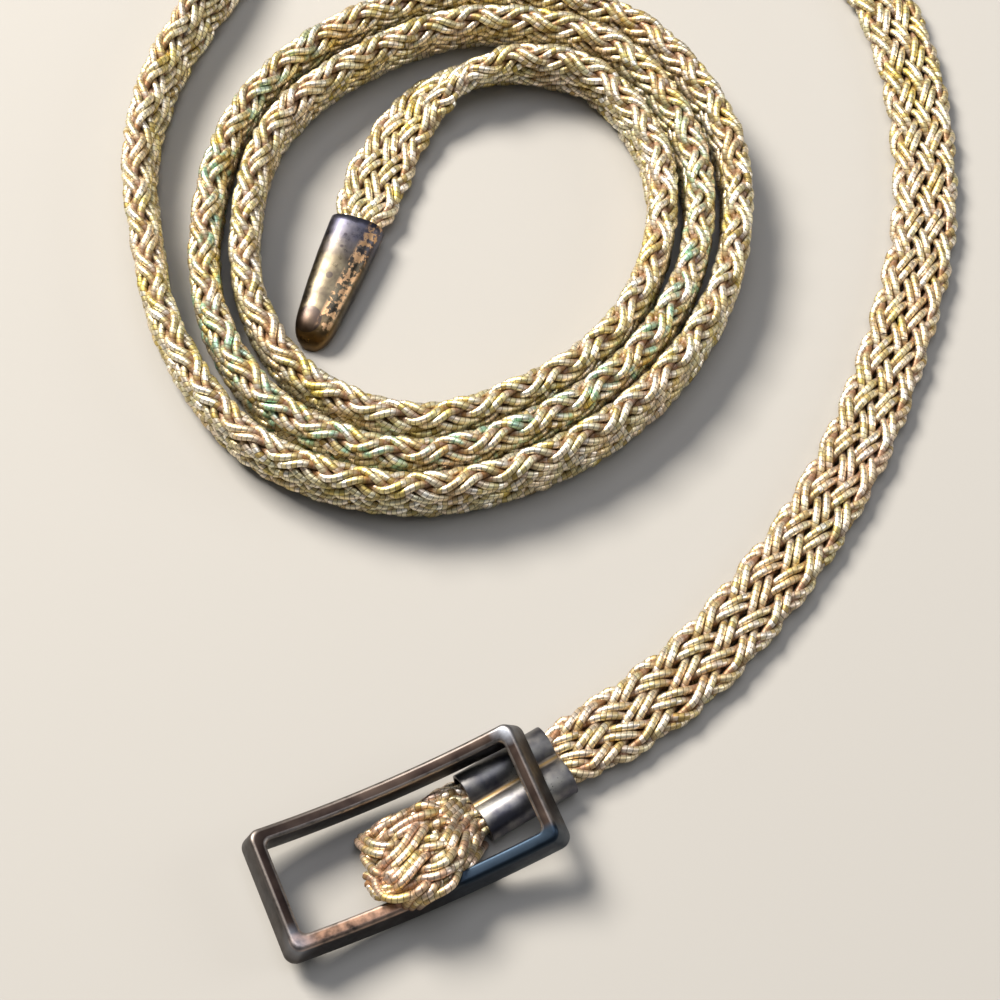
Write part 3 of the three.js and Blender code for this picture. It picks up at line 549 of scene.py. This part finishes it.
def closed_rings(name, rings, looped=False):
    """A closed surface through rings of points, each with the same number of points. Open ends get a fan."""
    rings = np.asarray(rings, dtype=float)
    count, sides, _ = rings.shape
    points = [tuple(p) for p in rings.reshape(-1, 3)]
    faces = []
    for i in range(count if looped else count - 1):
        here, after = i * sides, (i + 1) % count * sides
        faces += [(here + j, here + (j + 1) % sides, after + (j + 1) % sides, after + j)
                  for j in range(sides)]
    if not looped:
        for start, turned in ((0, True), ((count - 1) * sides, False)):
            hub = len(points)
            points.append(tuple(rings[start // sides].mean(0)))
            for j in range(sides):
                a, b = start + j, start + (j + 1) % sides
                faces.append((b, a, hub) if turned else (a, b, hub))
    mesh = bpy.data.meshes.new(name)
    mesh.from_pydata(points, [], faces)
    mesh.shade_smooth()
    return mesh


def corner(x, y, radius, start, end, steps):
    """Points of an arc about a corner's centre."""
    angles = np.radians(np.linspace(start, end, steps + 1))
    return [(x + radius * math.cos(a), y + radius * math.sin(a)) for a in angles]


def rounded_rectangle(length, width, radius, runs):
    """A rectangle with round corners, anticlockwise, its long sides cut into short runs."""
    x, y = length / 2 - radius, width / 2 - radius
    shares = np.arange(1, runs) / runs
    upper = [(x - 2 * x * s, width / 2) for s in shares]
    lower = [(-x + 2 * x * s, -width / 2) for s in shares]
    return (corner(x, y, radius, 0, 90, 8) + upper + corner(-x, y, radius, 90, 180, 8)
            + corner(-x, -y, radius, 180, 270, 8) + lower + corner(x, -y, radius, 270, 360, 8))


def turned(points, x_turn=0.0, y_turn=0.0, z_turn=0.0):
    """Points turned about Y, then X, then Z, in degrees."""
    a, b, c = (math.radians(v) for v in (x_turn, y_turn, z_turn))
    about_x = np.array([[1, 0, 0], [0, math.cos(a), -math.sin(a)], [0, math.sin(a), math.cos(a)]])
    about_y = np.array([[math.cos(b), 0, math.sin(b)], [0, 1, 0], [-math.sin(b), 0, math.cos(b)]])
    about_z = np.array([[math.cos(c), -math.sin(c), 0], [math.sin(c), math.cos(c), 0], [0, 0, 1]])
    return np.asarray(points) @ (about_z @ about_x @ about_y).T


def clouds(tree, place, size, detail, dark, pale):
    """Soft clouds of a real size: the noise that makes them, and its tone from dark to pale."""
    cloud = add(tree, "ShaderNodeTexNoise", inputs={"Vector": place, "Scale": 1 / size, "Detail": detail})
    tone = add(tree, "ShaderNodeValToRGB", inputs={0: cloud})
    for stop, spot, colour in zip(tone.color_ramp.elements, (0.35, 0.65), (dark, pale)):
        stop.position, stop.color = spot, linear(colour)
    return cloud, tone


def worn_bronze():
    """Cast bronze under a dark lacquer: smooth brown-black, and pale along its edges, partly worn to bare
    metal and partly a painted highlight.
    """
    material, tree, shader = new_finish("worn_dark_bronze")
    # its place on the unbent frame, in millimetres: brown clouds of 4 mm, and wear in spots of 1.4 mm
    local = add(tree, "ShaderNodeAttribute", {"attribute_name": "local"}).outputs["Vector"]
    edge = add(tree, "ShaderNodeAttribute", {"attribute_name": "edge"}).outputs["Fac"]
    parts = add(tree, "ShaderNodeSeparateXYZ", inputs={0: local})
    _, tone = clouds(tree, local, size=4.0, detail=3.0, dark="#201917", pale="#372E29")
    # the lower bar is rubbed to copper on its left half, and is blue-grey on its right half
    low = add(tree, "ShaderNodeMapRange", inputs={0: parts.outputs[1], 1: -5.5, 2: -6.3, 3: 0.0, 4: 1.0})
    left = add(tree, "ShaderNodeMapRange", inputs={0: parts.outputs[0], 1: 2.0, 2: -4.0, 3: 0.0, 4: low})
    right = add(tree, "ShaderNodeMapRange", inputs={0: parts.outputs[0], 1: -1.0, 2: 5.0, 3: 0.0, 4: low})
    grain = add(tree, "ShaderNodeTexNoise",
                inputs={"Vector": local, "Scale": 1 / 1.4, "Detail": 4.0, "Roughness": 0.55}).outputs[0]
    top = add(tree, "ShaderNodeMapRange", inputs={0: parts.outputs[2], 1: 3.6, 2: 3.9, 3: 0.0, 4: left})
    rubbed = add(tree, "ShaderNodeMapRange", inputs={0: grain, 1: 0.3, 2: 0.62, 3: 0.0, 4: top})
    layers = [(right, "#27313C"), (rubbed, "#9C7A64")]
    # two corners are worn to pale metal, and the edges are pale too, but for the blue-grey half: partly worn
    # metal and partly a painted highlight
    for *middle, radius in ((17.6, 7.2, 4.0, 2.4), (-17.8, -7.2, 4.0, 3.0)):
        gap = add(tree, "ShaderNodeVectorMath", {"operation": "DISTANCE"},
                  {0: local, 1: middle}).outputs["Value"]
        worn = add(tree, "ShaderNodeMapRange", inputs={0: gap, 1: radius, 2: 0.0, 3: 0.0, 4: grain})
        layers.append((worn, "#9AA0AB"))
    shine = add(tree, "ShaderNodeMapRange", inputs={0: grain, 1: 0.3, 2: 0.5, 3: 0.55, 4: 1.0})
    shine = add(tree, "ShaderNodeMath", {"operation": "MULTIPLY"}, {0: shine, 1: edge})
    not_right = add(tree, "ShaderNodeMath", {"operation": "SUBTRACT"}, {0: 1.0, 1: right})
    shine = add(tree, "ShaderNodeMath", {"operation": "MULTIPLY"}, {0: shine, 1: not_right})
    tone = lay_over(tree, tone, layers + [(shine, "#B3ABA5")])
    rough = add(tree, "ShaderNodeMapRange", inputs={0: grain, 1: 0.3, 2: 0.7, 3: 0.36, 4: 0.47})
    bump = add(tree, "ShaderNodeBump", inputs={"Strength": 0.12, "Distance": 0.05 * MM, "Height": grain})
    feed(tree, shader, {"Base Color": tone, "Roughness": rough, "Metallic": 1.0, "Normal": bump})
    return material


def buckle_rings():
    """Rings of the bar's section round the rectangle, their unbent places and how near an edge they are."""
    runs, steps = 60, 6
    inner = rounded_rectangle(FRAME_LENGTH - 2 * BAR_WIDTH, FRAME_WIDTH - 2 * BAR_WIDTH, WINDOW_CORNER, runs)
    outer = rounded_rectangle(FRAME_LENGTH, FRAME_WIDTH, OUTER_CORNER, runs)
    # how pale each of the section's four rounded corners is: partly worn metal and partly a painted highlight
    radii, wear_and_highlight = (0.5, 0.5, 0.6, 0.45), (0.05, 0.05, 0.3, 0.7)
    centres = [(radii[0], radii[0], 180), (BAR_WIDTH - radii[1], radii[1], 270),
               (BAR_WIDTH - BAR_DRAFT - radii[2], BAR_DEPTH - radii[2], 0),
               (radii[3], BAR_DEPTH - radii[3], 90)]
    section = []
    for (x, y, start), radius, wear in zip(centres, radii, wear_and_highlight):
        arc = corner(x, y, radius, start, start + 90, steps)
        section += [(a / BAR_WIDTH, h, wear * math.sin(math.pi * k / steps)) for k, (a, h) in enumerate(arc)]
    rings, local, edge = [], [], []
    for (ix, iy), (ox, oy) in zip(inner, outer):
        ring = []
        for share, height, worn in section:
            x, y = ix + (ox - ix) * share, iy + (oy - iy) * share
            turn, reach = x / BOW_RADIUS, BOW_RADIUS - height
            ring.append((reach * math.sin(turn), y, BOW_RADIUS - reach * math.cos(turn)))
            local.append((x, y, height))
            edge.append(worn)
        rings.append(ring)
    local, edge = (np.array(part).reshape(len(rings), len(section), -1)[::-1] for part in (local, edge))
    return rings[::-1], {"local": local.reshape(-1, 3), "edge": edge.ravel()}


rings, values = buckle_rings()
place = np.array([0.7, 1.1, 1.7]) - ORIGIN
mesh = closed_rings("buckle", (turned(rings, x_turn=3.4, y_turn=-4.0, z_turn=0.2) + place) * MM, looped=True)
carry(mesh, values)
buckle = put(mesh, "bronze_buckle", worn_bronze())
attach(buckle, "root")
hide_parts("buckle_frame")


# Strap sleeve
# One sheet of nickelled brass rolled round the strap and crimped along its middle, which makes two barrels
# side by side. It grips the strap just before the folded end, and its crease is golden brown.
SLEEVE_LENGTH, BARREL_RADIUS, SLEEVE_WALL, CREASE_HALF_HEIGHT = 12.2, 2.4, 0.45, 1.25


def sleeve_outline(shrink):
    """Two round barrels joined at a crease above and below, moved inwards by a distance."""
    steps, reach = 44, 150  # degrees each way from the barrel's outer side to the crease
    right = corner(BARREL_RADIUS, 0, BARREL_RADIUS - shrink, -reach, reach, steps)
    crease = CREASE_HALF_HEIGHT - shrink
    return right + [(0, crease)] + [(-y, -z) for y, z in right] + [(0, -crease)]


def worn_nickel():
    """Nickel plate on brass: smooth cool grey, pitted where the plate has lifted, brown along its crease."""
    material, tree, shader = new_finish("worn_nickel_plate")
    place = add(tree, "ShaderNodeTexCoord").outputs["Object"]
    cloud, tone = clouds(tree, place, size=3.3 * MM, detail=4.0, dark="#4E4D55", pale="#8B8984")
    pits = add(tree, "ShaderNodeTexVoronoi", inputs={"Vector": place, "Scale": 1 / (0.38 * MM)})
    pits = add(tree, "ShaderNodeMapRange",
               inputs={0: pits.outputs["Distance"], 1: 0.1, 2: 0.25, 3: 1.0, 4: 0.0})
    patch = add(tree, "ShaderNodeMapRange", inputs={0: cloud, 1: 0.5, 2: 0.62, 3: 0.0, 4: 1.0})
    pits = add(tree, "ShaderNodeMath", {"operation": "MULTIPLY"}, {0: pits, 1: patch})
    brown_and_painted_shade = add(tree, "ShaderNodeAttribute", {"attribute_name": "brown_and_painted_shade"}).outputs["Fac"]
    tone = lay_over(tree, tone, [(pits, "#3A3A35"), (brown_and_painted_shade, "#77603A")])
    rough = add(tree, "ShaderNodeMapRange", inputs={0: cloud, 1: 0.3, 2: 0.7, 3: 0.38, 4: 0.52})
    bump = add(tree, "ShaderNodeBump", {"invert": True},
               {"Strength": 0.4, "Distance": 0.03 * MM, "Height": pits})
    feed(tree, shader, {"Base Color": tone, "Roughness": rough, "Metallic": 1.0, "Normal": bump})
    return material


# the wall's rounded rim, as distances in from the end and in from the skin
rim = [(0.12, 0.0), (0.03, 0.04), (0.0, 0.15), (0.0, 0.3), (0.03, 0.41), (0.12, SLEEVE_WALL)]
profile = [(SLEEVE_LENGTH / 2 - x, shrink) for x, shrink in rim]
mirrored = [(-x, shrink) for x, shrink in profile]
profile = mirrored[:1] + profile + mirrored[:0:-1]
rings = [[(x, y, z) for y, z in sleeve_outline(shrink)] for x, shrink in profile]
place = np.array([15.9, 3.3, BARREL_RADIUS]) - ORIGIN
mesh = closed_rings("sleeve", (turned(rings, z_turn=8.5) + place) * MM, looped=True)
brown_width = 0.5  # each side of the crease
carry(mesh, {"brown_and_painted_shade": np.array([max(0.0, 1 - abs(y) / brown_width) for ring in rings for _, y, _ in ring])})
sleeve = put(mesh, "nickel_sleeve", worn_nickel())
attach(sleeve, "root")
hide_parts("strap_sleeve")


# End tip
# A tapered cap pressed from brass, pushed over the strap's end. Its brown finish has rubbed away in ragged
# copper patches along one side, and its round end has worn golden.
TIP_PROFILE = [(0.0, 7.8, 5.0), (1.2, 7.8, 5.0), (6.0, 7.5, 4.9), (11.0, 6.9, 4.6), (15.5, 6.1, 4.2),
               (20.0, 5.3, 3.8)]
TIP_WALL, SOCKET_DEPTH = 0.5, 6.0
ROUND_FROM, ROUND_LENGTH, BLUNTNESS = 14.0, 5.75, 0.36


def cap_ring(along, width, thickness, height):
    """A flattened round outline with full sides."""
    ring, sides, fullness = [], 56, 0.8
    for i in range(sides):
        angle = 2 * math.pi * i / sides
        c, s = math.cos(angle), math.sin(angle)
        y = math.copysign(abs(c) ** fullness, c) * width / 2
        z = math.copysign(abs(s) ** fullness, s) * thickness / 2
        ring.append((along, y, z + height))
    return ring


def browned_brass():
    """Pressed brass with a brown chemical finish: glossy, rubbed to copper and gold where it was held."""
    material, tree, shader = new_finish("browned_brass")
    # its place on the tip, in millimetres from the mouth: brown clouds of 2.5 mm, and flakes of 1.1 mm
    local = add(tree, "ShaderNodeAttribute", {"attribute_name": "local"}).outputs["Vector"]
    parts = add(tree, "ShaderNodeSeparateXYZ", inputs={0: local})
    _, tone = clouds(tree, local, size=2.5, detail=4.0, dark="#403A33", pale="#665E4E")
    gold = add(tree, "ShaderNodeMapRange", inputs={0: parts.outputs[0], 1: 15.0, 2: 19.0, 3: 0.0, 4: 0.7})
    # a painted bluish reflection near the mouth, strongest within 1 mm of it and gone by 7 mm
    cool = add(tree, "ShaderNodeMapRange", inputs={0: parts.outputs[0], 1: 7.0, 2: 1.0, 3: 0.0, 4: 0.55})
    # the rubbed band runs down the tip's right side, and comes nearer to its middle as the tip narrows
    band = add(tree, "ShaderNodeMath", {"operation": "MULTIPLY_ADD"},
               {0: parts.outputs[0], 1: 0.1, 2: parts.outputs[1]})
    side = add(tree, "ShaderNodeMapRange", inputs={0: band, 1: 1.9, 2: 2.4, 3: 0.0, 4: 1.0})
    side = add(tree, "ShaderNodeMapRange", inputs={0: band, 1: 4.2, 2: 3.8, 3: 0.0, 4: side})
    side = add(tree, "ShaderNodeMapRange", inputs={0: parts.outputs[0], 1: 18.4, 2: 17.6, 3: 0.0, 4: side})
    grain = add(tree, "ShaderNodeTexNoise",
                inputs={"Vector": local, "Scale": 1 / 1.1, "Detail": 6.0, "Roughness": 0.65})
    flake = add(tree, "ShaderNodeMapRange", inputs={0: grain, 1: 0.5, 2: 0.53, 3: 0.0, 4: side})
    layers = [(gold, "#75592F"), (cool, "#565A76"), (flake, "#C29B74")]
    # four small spots, and a stain on the round end: place and radius
    for *middle, radius in ((3.2, -0.5, 4.95, 0.15), (5.2, -0.3, 4.92, 0.2), (10.0, -0.4, 4.66, 0.45),
                            (12.3, -2.4, 4.0, 0.2), (17.0, -1.0, 3.85, 1.9)):
        gap = add(tree, "ShaderNodeVectorMath", {"operation": "DISTANCE"},
                  {0: local, 1: middle}).outputs["Value"]
        stain = add(tree, "ShaderNodeMapRange", inputs={0: gap, 1: radius + 0.1, 2: radius, 3: 0.0, 4: 0.65})
        layers.append((stain, "#29242B"))
    tone = lay_over(tree, tone, layers)
    rough = add(tree, "ShaderNodeMapRange", inputs={0: grain, 1: 0.3, 2: 0.7, 3: 0.24, 4: 0.42})
    bump = add(tree, "ShaderNodeBump", {"invert": True},
               {"Strength": 0.3, "Distance": 0.04 * MM, "Height": flake})
    feed(tree, shader, {"Base Color": tone, "Roughness": rough, "Metallic": 1.0, "Normal": bump})
    return material


knots = np.array(TIP_PROFILE)
_, mouth_width, mouth_height = TIP_PROFILE[0]
# from the socket's floor out to its rounded lip, then down the outside to the round end
rings = [cap_ring(a, mouth_width - k * TIP_WALL, mouth_height - k * TIP_WALL, mouth_height / 2)
         for a, k in ((SOCKET_DEPTH, 2), (3.0, 2), (0.1, 2), (0.0, 1.5), (0.0, 0.5))]
rounding = ROUND_FROM + ROUND_LENGTH * np.sin(np.linspace(0.1, 1.5, 22))
for a in np.concatenate([[0.1], np.linspace(1, ROUND_FROM, 14), rounding]):
    rounded = (1 - max(0.0, (a - ROUND_FROM) / ROUND_LENGTH) ** 4) ** BLUNTNESS
    width, thick = (np.interp(a, knots[:, 0], knots[:, k]) * rounded for k in (1, 2))
    rings.append(cap_ring(a, width, thick, thick / 2))
place = np.array([*TIP_MOUTH, 0.0]) - ORIGIN
mesh = closed_rings("tip", (turned(rings, z_turn=TIP_TURN) + place) * MM)
hubs = [np.mean(rings[0], 0), np.mean(rings[-1], 0)]
carry(mesh, {"local": np.concatenate([np.array(rings).reshape(-1, 3), hubs])})
tip = put(mesh, "brass_tip", browned_brass())
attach(tip, "root")
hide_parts("end_tip")


# Studio
# A plain pale floor, a large soft light from behind and to the left, weak fills, and the camera that looks
# down at the belt from the buckle's side.
def plain_paper():
    """Matt off-white paper, for the floor."""
    material, tree, shader = new_finish("matt_paper")
    feed(tree, shader, {"Base Color": linear("#9B9893"), "Roughness": 0.9})
    return material


mesh = bpy.data.meshes.new("floor")
mesh.from_pydata([(-3, -3, 0), (3, -3, 0), (3, 3, 0), (-3, 3, 0)], [], [(0, 1, 2, 3)])
floor = put(mesh, "floor", plain_paper())


def aim(item, place, target):
    """Puts a camera or a light at a place, looking at a target."""
    item.location = place
    item.rotation_euler = (Vector(target) - Vector(place)).to_track_quat("-Z", "Y").to_euler()
    bpy.context.scene.collection.objects.link(item)


for name, place, size, power, colour in (
        ("key_light", (-0.36, 0.74, 0.92), 0.5, 40.0, "#FFF9F0"),
        ("top_light", (0.05, 0.02, 0.80), 0.5, 2.5, "#F2F5FF"),
        ("side_light", (0.55, -0.25, 0.35), 0.3, 1.0, "#FFFFFF")):
    data = bpy.data.lights.new(name, "AREA")
    data.size, data.energy, data.color = size, power, linear(colour)[:3]
    aim(bpy.data.objects.new(name, data), place, (0, 0, 0))

world = bpy.data.worlds.new("studio")
world.use_nodes = True
world.node_tree.nodes["Background"].inputs[0].default_value = linear("#DDE3EA")
world.node_tree.nodes["Background"].inputs[1].default_value = 0.2
bpy.context.scene.world = world

camera = bpy.data.cameras.new("camera")
camera.lens, camera.sensor_width, camera.clip_start = 82.08, 36, 0.01
viewer = bpy.data.objects.new("camera", camera)
aim(viewer, (-0.0750, -0.15886, 0.2661), (-0.02043, -0.03154, 0.0))
bpy.context.scene.camera = viewer
bpy.context.scene.view_settings.view_transform = "Standard"
